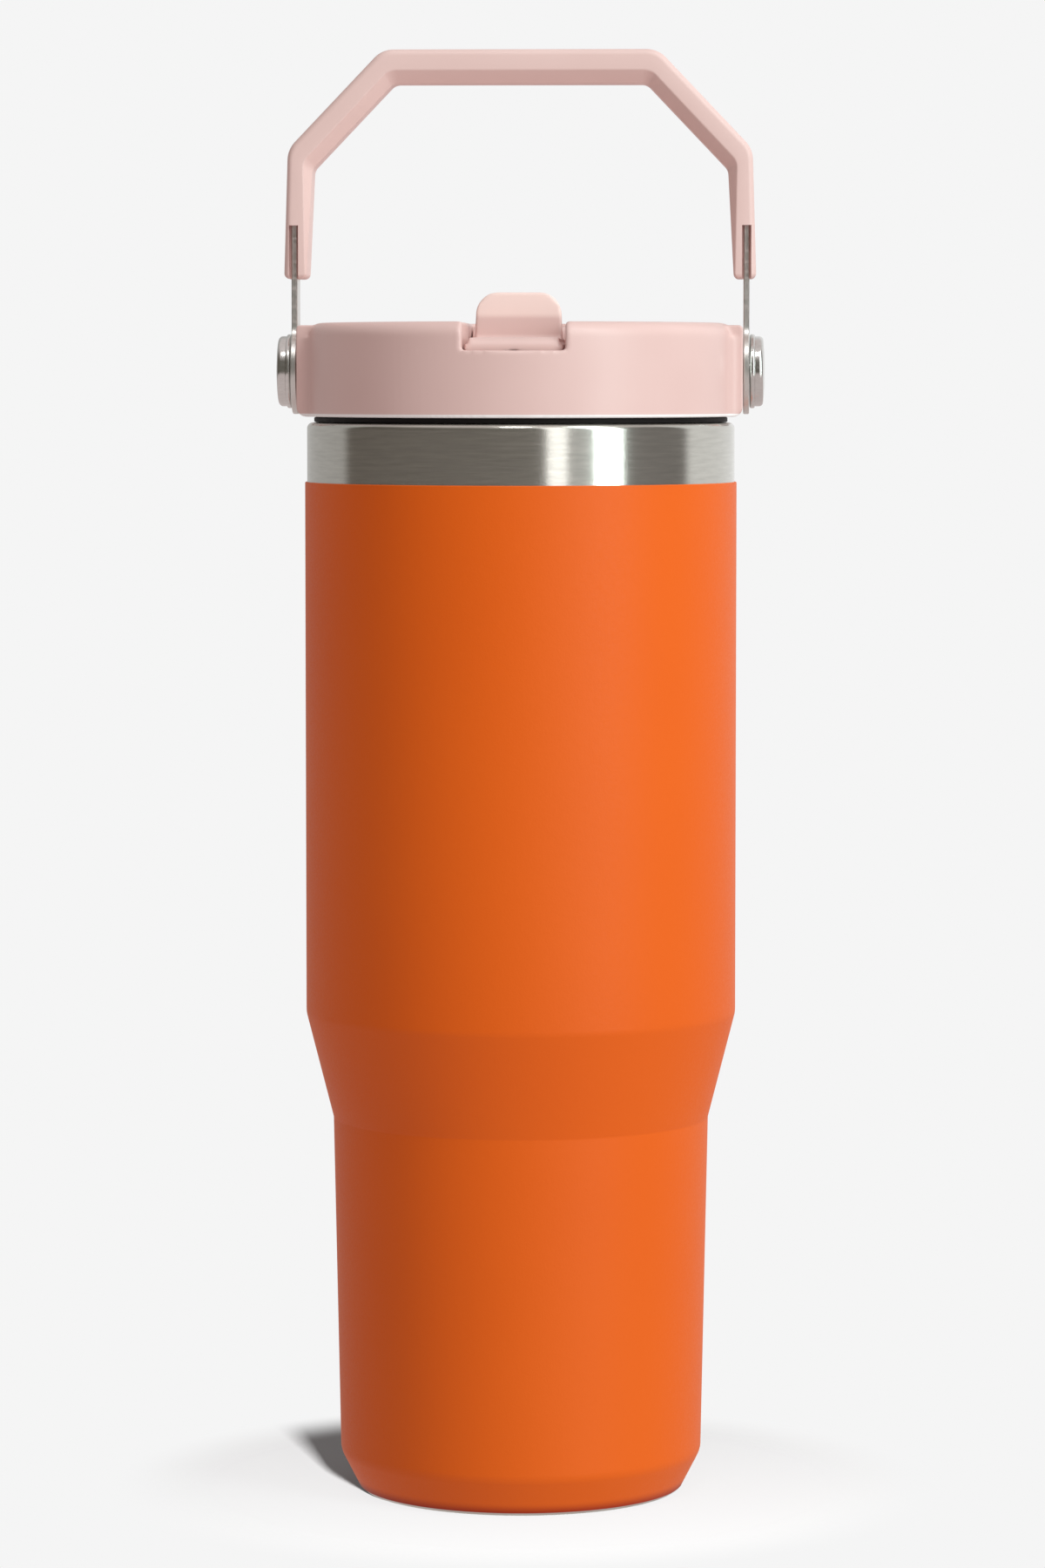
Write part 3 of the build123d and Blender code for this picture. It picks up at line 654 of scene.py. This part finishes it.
def plate(name, outline, hole, x_from, x_to, bevel, material):
    """Flat plate with a round hole: outline and hole are (y, z) lines, x runs through it."""
    def offset(line, by):
        """The line moved sideways, point by point."""
        moved = []
        count = len(line)
        for i, point in enumerate(line):
            run = (line[(i + 1) % count] - line[i - 1]).normalized()
            moved.append(point + Vector((-run.y, run.x)) * by)
        return moved

    turn = 1 if x_to > x_from else -1
    stations = [(x_from, bevel), (x_from + turn * bevel, 0), (x_to - turn * bevel, 0), (x_to, bevel)]
    vertices, faces = [], []
    lines = []
    for line in (outline, hole):
        rings = []
        for x, inset in stations:
            rings.append(range(len(vertices), len(vertices) + len(line)))
            vertices += [Vector((x, p.x, p.y)) for p in offset(line, inset)]
        lines.append(rings)
        for a, b in zip(rings, rings[1:]):
            for i in range(len(line)):
                j = (i + 1) % len(line)
                faces.append((a[i], a[j], b[j], b[i]))
    for end in (0, -1):
        flat = [[vertices[i] for i in rings[end]] for rings in lines]
        index = [i for rings in lines for i in rings[end]]
        faces += [tuple(index[i] for i in triangle) for triangle in tessellate_polygon(flat)]
    piece = new_piece(name, vertices, faces, material)
    turned = bmesh.new()
    turned.from_mesh(piece.data)
    bmesh.ops.recalc_face_normals(turned, faces=turned.faces)
    turned.to_mesh(piece.data)
    turned.free()
    shade(piece.data, PLATE_CRISP_DEG)
    return piece


def circle(centre, radius, from_deg, to_deg, steps):
    """Points on an arc in the plane, both ends included."""
    points = []
    for step in range(steps + 1):
        angle = math.radians(from_deg + (to_deg - from_deg) * step / steps)
        points.append(centre + radius * Vector((math.cos(angle), math.sin(angle))))
    return points


# Straps: the round end, the neck above it and the strap itself
END_R = bracket_high.y
STRAP_HALF = 4.0 * MM
STRAP_CORNER = 1 * MM
STRAP_TOP_Z = bracket_high.z
STRAP_BEVEL = 0.16 * MM
NECK_R = 4.0 * MM
BORE_R = 2.6 * MM

# Ripples that the shear leaves on a strap's two long edges: their pitch, and how far
# a ripple may stand out and sink in
SHEAR_PITCH = 0.36 * MM
SHEAR_OUT = 0.05 * MM
SHEAR_IN = 0.03 * MM


def make_bracket(side, side_name, draw):
    """Steel strap with a round end, necked down to the strap's width."""
    pivot = Vector((0, PIVOT_Z))
    neck_x = STRAP_HALF + NECK_R
    neck_rise = math.sqrt((END_R + NECK_R) ** 2 - neck_x ** 2)
    touch = math.degrees(math.atan2(neck_rise, neck_x))
    right_neck = pivot + Vector((neck_x, neck_rise))
    left_neck = pivot + Vector((-neck_x, neck_rise))
    outline = circle(right_neck, NECK_R, 180, 180 + touch, 10)
    outline += circle(pivot, END_R, touch, touch - 360 + 2 * (90 - touch), 120)[1:-1]
    outline += circle(left_neck, NECK_R, -touch, 0, 10)
    corner_z = STRAP_TOP_Z - STRAP_CORNER
    rows = int((corner_z - outline[-1].y) / SHEAR_PITCH)
    for row in range(1, rows):
        y = -STRAP_HALF + draw.uniform(-SHEAR_OUT, SHEAR_IN)
        outline.append(Vector((y, outline[-1].y + SHEAR_PITCH)))
    corner_y = STRAP_HALF - STRAP_CORNER
    outline += circle(Vector((-corner_y, corner_z)), STRAP_CORNER, 180, 90, 6)
    outline += circle(Vector((corner_y, corner_z)), STRAP_CORNER, 90, 0, 6)
    for row in range(rows - 1, 0, -1):
        y = STRAP_HALF + draw.uniform(-SHEAR_IN, SHEAR_OUT)
        outline.append(Vector((y, right_neck.y + SHEAR_PITCH * row)))
    hole = circle(pivot, BORE_R, 0, 360, 64)[:-1]
    x_in, x_out = side * bracket_low.x, side * bracket_high.x
    steel = MATERIALS["bracket_steel"]
    piece = plate(f"strap_{side_name}", outline[::-1], hole, x_in, x_out, STRAP_BEVEL, steel)
    return fit(piece, f"bracket_{side_name}")


# Washers and caps of the pivots
RIVET_R = 2.5 * MM
WASHER_ROUND = 0.42 * MM
CAP_WALL = 0.6 * MM
CAP_DOME = 0.35 * MM


def x_axis(side):
    """Places a lathe outline's height along +X or -X, its centre at the pivot's height."""
    turn = Matrix.Rotation(math.radians(90 * side), 4, "Y")
    return Matrix.Translation((0, 0, PIVOT_Z)) @ turn


def make_pivot(side, side_name):
    """Washer and domed cap of one handle pivot, turned about the X axis."""
    steel = MATERIALS["polished_steel"]
    washer = rounded(
        [
            (RIVET_R, washer_low.x), (washer_high.y, washer_low.x),
            (washer_high.y, washer_high.x), (RIVET_R, washer_high.x),
        ],
        (0, WASHER_ROUND, WASHER_ROUND, 0),
        closed=True,
        steps=8,
    )
    made = lathe(f"washer_{side_name}", washer, steel, x_axis(side), PIVOT_AROUND)
    fit(made, f"pivot_washer_{side_name}")
    cap_r, dome_z = cap_high.y, cap_high.x - CAP_DOME
    outer = rounded(
        [(cap_r, cap_low.x), (cap_r, dome_z), (cap_r * 0.45, cap_high.x), (0, cap_high.x)],
        (0, 1.25 * MM, 6 * MM, 0),
        steps=16,
    )
    bore_r = cap_r - CAP_WALL
    inner = rounded(
        [(bore_r, cap_low.x), (bore_r, dome_z - CAP_WALL), (0, cap_high.x - CAP_WALL)],
        (0, 0.7 * MM, 0),
        steps=8,
    )
    made = lathe(f"cap_{side_name}", outer + inner[::-1], steel, x_axis(side), PIVOT_AROUND)
    fit(made, f"rivet_cap_{side_name}")


shear = random.Random(4)
for side, side_name in ((-1, "left"), (1, "right")):
    make_bracket(side, side_name, shear)
    make_pivot(side, side_name)


def cad_copy(name, node, material):
    """A new object with a copy of a CAD node's mesh, its doubled points merged."""
    source = frame["nodes"][node]
    mesh = source.data.copy()
    mesh.transform(source.matrix_world)
    welded = bmesh.new()
    welded.from_mesh(mesh)
    bmesh.ops.remove_doubles(welded, verts=welded.verts, dist=1e-6)
    welded.to_mesh(mesh)
    welded.free()
    mesh.materials.clear()
    mesh.materials.append(material)
    piece = bpy.data.objects.new(name, mesh)
    bpy.context.scene.collection.objects.link(piece)
    return piece


def make_moulding(name, node, cell, rounds, share=1.0):
    """A moulded piece with every edge and inner corner of its CAD node softened."""
    piece = cad_copy(name, node, MATERIALS["lid_plastic"])
    skin = piece.modifiers.new("skin", "REMESH")
    skin.mode = "VOXEL"
    skin.voxel_size = cell
    soft = piece.modifiers.new("soft", "SMOOTH")
    soft.factor = 0.5
    soft.iterations = rounds
    if share < 1:
        fewer = piece.modifiers.new("fewer", "DECIMATE")
        fewer.ratio = share
    bake(piece, MOULDING_CRISP_DEG)
    return fit(piece, node)


make_moulding("flip_spout", "mouthpiece", 0.32 * MM, 6)
make_moulding("lid_skirt", "lid_cover", 0.4 * MM, 3, 0.3)

# ---------------------------------------------------------------- floor, light and camera

BACKDROP = 0.913
STAGE_R = 30.0

# The floor takes light and shade only close to the foot
SHADE_FROM_R = 0.064
SHADE_TO_R = 0.088
FLOOR_ALBEDO = 0.08
FLOOR_FILL = 0.08


def camera_only(piece):
    """A stage piece that the camera sees but that neither lights nor shades the object."""
    piece.visible_diffuse = False
    piece.visible_glossy = False
    piece.visible_transmission = False
    piece.visible_volume_scatter = False
    piece.visible_shadow = False
    bpy.context.scene.collection.objects.link(piece)


def make_backdrop():
    """Large plain dome of even, pale grey light."""
    mesh = bpy.data.meshes.new("backdrop")
    shell = bmesh.new()
    bmesh.ops.create_uvsphere(shell, u_segments=64, v_segments=32, radius=STAGE_R)
    shell.to_mesh(mesh)
    shell.free()
    m = Nodes("backdrop_paper", Roughness=1.0)
    m.shader.inputs["Base Color"].default_value = (0, 0, 0, 1)
    m.shader.inputs["Specular IOR Level"].default_value = 0.0
    m.shader.inputs["Emission Color"].default_value = (1, 1, 1, 1)
    m.shader.inputs["Emission Strength"].default_value = BACKDROP
    mesh.materials.append(m.material)
    camera_only(bpy.data.objects.new("backdrop", mesh))


def make_floor():
    """Floor sheet: it takes the shadow near the foot, and further out it glows like the backdrop."""
    mesh = bpy.data.meshes.new("floor")
    corners = [(-STAGE_R, -STAGE_R, 0), (STAGE_R, -STAGE_R, 0), (STAGE_R, STAGE_R, 0), (-STAGE_R, STAGE_R, 0)]
    mesh.from_pydata(corners, [], [(0, 1, 2, 3)])
    m = Nodes("floor_paper", Roughness=1.0)
    m.shader.inputs["Specular IOR Level"].default_value = 0.0
    m.shader.inputs["Emission Color"].default_value = (1, 1, 1, 1)
    away = m.node("ShaderNodeVectorMath", {"operation": "LENGTH"}, i0=m.coords)
    fade = m.node("ShaderNodeMapRange", {"interpolation_type": "SMOOTHSTEP"}, Value=away.outputs["Value"])
    fade.inputs["From Min"].default_value = SHADE_FROM_R
    fade.inputs["From Max"].default_value = SHADE_TO_R
    glow = m.node("ShaderNodeMapRange", Value=fade.outputs["Result"])
    glow.inputs["To Min"].default_value = FLOOR_FILL
    glow.inputs["To Max"].default_value = BACKDROP
    bare = m.node("ShaderNodeMapRange", Value=fade.outputs["Result"])
    bare.inputs["To Min"].default_value = FLOOR_ALBEDO
    bare.inputs["To Max"].default_value = 0.0
    grey = bare.outputs[0]
    tone = m.node("ShaderNodeCombineColor", Red=grey, Green=grey, Blue=grey)
    m.feed(Base_Color=tone.outputs["Color"], Emission_Strength=glow.outputs[0])
    mesh.materials.append(m.material)
    floor = bpy.data.objects.new("floor", mesh)
    camera_only(floor)
    return floor


# Light from round the studio: azimuth in degrees from the front towards +X, and its colour
SURROUND = [
    (-180, (0.53, 0.52, 0.51)), (-109, (0.48, 0.47, 0.46)), (-103, (0.12, 0.105, 0.088)),
    (6, (0.16, 0.15, 0.13)), (25, (0.20, 0.19, 0.18)), (27, (0.56, 0.56, 0.55)), (40, (0.56, 0.56, 0.55)),
    (42, (0.20, 0.19, 0.18)), (100, (0.20, 0.19, 0.18)), (105, (0.92, 0.92, 0.92)), (180, (0.92, 0.92, 0.92)),
]
CEILING = (0.755, 0.69, 0.68, 1)
FLOOR_GLOW = (0.66, 0.58, 0.57, 1)

# Where the walls fade into the ceiling and the floor, as the z of a unit direction
CEILING_FADE = (0.55, 0.85)
FLOOR_FADE = (-0.16, -0.08)


def make_world():
    """Studio walls by azimuth, a pale ceiling above and the pale floor below."""
    world = bpy.data.worlds.new("studio")
    bpy.context.scene.world = world
    world.use_nodes = True
    tree = world.node_tree
    tree.nodes.clear()
    add, link = tree.nodes.new, tree.links.new

    def share(value, low, high):
        """0 where value is low, rising to 1 where it is high."""
        made = add("ShaderNodeMapRange")
        made.inputs["From Min"].default_value = low
        made.inputs["From Max"].default_value = high
        link(value, made.inputs["Value"])
        return made.outputs["Result"]

    split = add("ShaderNodeSeparateXYZ")
    link(add("ShaderNodeTexCoord").outputs["Generated"], split.inputs[0])
    front = add("ShaderNodeMath")
    front.operation = "MULTIPLY"
    front.inputs[1].default_value = -1
    link(split.outputs["Y"], front.inputs[0])
    azimuth = add("ShaderNodeMath")
    azimuth.operation = "ARCTAN2"
    link(split.outputs["X"], azimuth.inputs[0])
    link(front.outputs[0], azimuth.inputs[1])
    walls = add("ShaderNodeValToRGB")
    stops = walls.color_ramp.elements
    for degrees, colour in SURROUND[1:-1]:
        stops.new((degrees + 180) / 360).color = (*colour, 1)
    stops[0].color = (*SURROUND[0][1], 1)
    stops[-1].color = (*SURROUND[-1][1], 1)
    link(share(azimuth.outputs[0], -math.pi, math.pi), walls.inputs["Fac"])
    above = add("ShaderNodeMix")
    above.data_type = "RGBA"
    above.inputs["B"].default_value = CEILING
    link(walls.outputs["Color"], above.inputs["A"])
    link(share(split.outputs["Z"], *CEILING_FADE), above.inputs["Factor"])
    below = add("ShaderNodeMix")
    below.data_type = "RGBA"
    below.inputs["A"].default_value = FLOOR_GLOW
    link(above.outputs["Result"], below.inputs["B"])
    link(share(split.outputs["Z"], *FLOOR_FADE), below.inputs["Factor"])
    light = add("ShaderNodeBackground")
    link(below.outputs["Result"], light.inputs["Color"])
    link(light.outputs[0], add("ShaderNodeOutputWorld").inputs["Surface"])


LIT_POINT = Vector((0, 0, 0.19))


def softbox(name, azimuth, low, high, turn, distance, radiance, colour=(1, 1, 1)):
    """Light card between two elevations, turn degrees wide, as seen from the lit point."""
    middle = math.radians((low + high) / 2)
    width = 2 * distance * math.tan(math.radians(turn / 2))
    height = 2 * distance * math.tan(math.radians((high - low) / 2))
    light = bpy.data.lights.new(name, "AREA")
    light.shape = "RECTANGLE"
    light.size = width
    light.size_y = height
    light.energy = radiance * math.pi * width * height
    light.color = colour
    lamp = bpy.data.objects.new(name, light)
    bpy.context.scene.collection.objects.link(lamp)
    a = math.radians(azimuth)
    away = Vector((math.sin(a) * math.cos(middle), -math.cos(a) * math.cos(middle), math.sin(middle)))
    lamp.location = LIT_POINT + away * distance
    lamp.rotation_euler = away.to_track_quat("Z", "Y").to_euler()
    lamp.visible_camera = False
    return lamp


def make_lights():
    """Light cards that shade the tumbler and streak its steel band."""
    softbox("key", 49.6, -8, 62, 14.8, 1.6, 7.2, (0.94, 1.07, 1.06))
    softbox("front_strip", 21, -8, 50, 11, 1.7, 1.8)
    softbox("top_card", -2, 54, 64, 12, 1.5, 8.0)


def make_shadow_light(floor):
    """Small lamp that lights only the floor, so that the foot casts one short crisp shadow."""
    lamp = softbox("floor_lamp", 12, 9, 14, 5, 1.6, 13100)
    receivers = bpy.data.collections.new("floor_lamp_receivers")
    receivers.objects.link(floor)
    lamp.light_linking.receiver_collection = receivers


CAMERA_DISTANCE = 1.150
CAMERA_Z = 0.23123
CAMERA_AZIMUTH = math.radians(2.0)
CAMERA_TILT = math.radians(4.207)
CAMERA_PAN = -0.0003


def make_camera():
    """A long lens a little above the rim, looking down slightly and turned a little to +X."""
    camera = bpy.data.cameras.new("camera")
    camera.lens = 127.8
    camera.sensor_width = 36.0
    holder = bpy.data.objects.new("camera", camera)
    bpy.context.scene.collection.objects.link(holder)
    away = Vector((math.sin(CAMERA_AZIMUTH), -math.cos(CAMERA_AZIMUTH), 0)) * CAMERA_DISTANCE
    holder.location = away + Vector((0, 0, CAMERA_Z))
    holder.rotation_euler = (math.pi / 2 - CAMERA_TILT, 0, CAMERA_AZIMUTH + CAMERA_PAN)
    bpy.context.scene.camera = holder


make_backdrop()
make_shadow_light(make_floor())
make_world()
make_lights()
make_camera()
bpy.context.scene.view_settings.view_transform = "Standard"
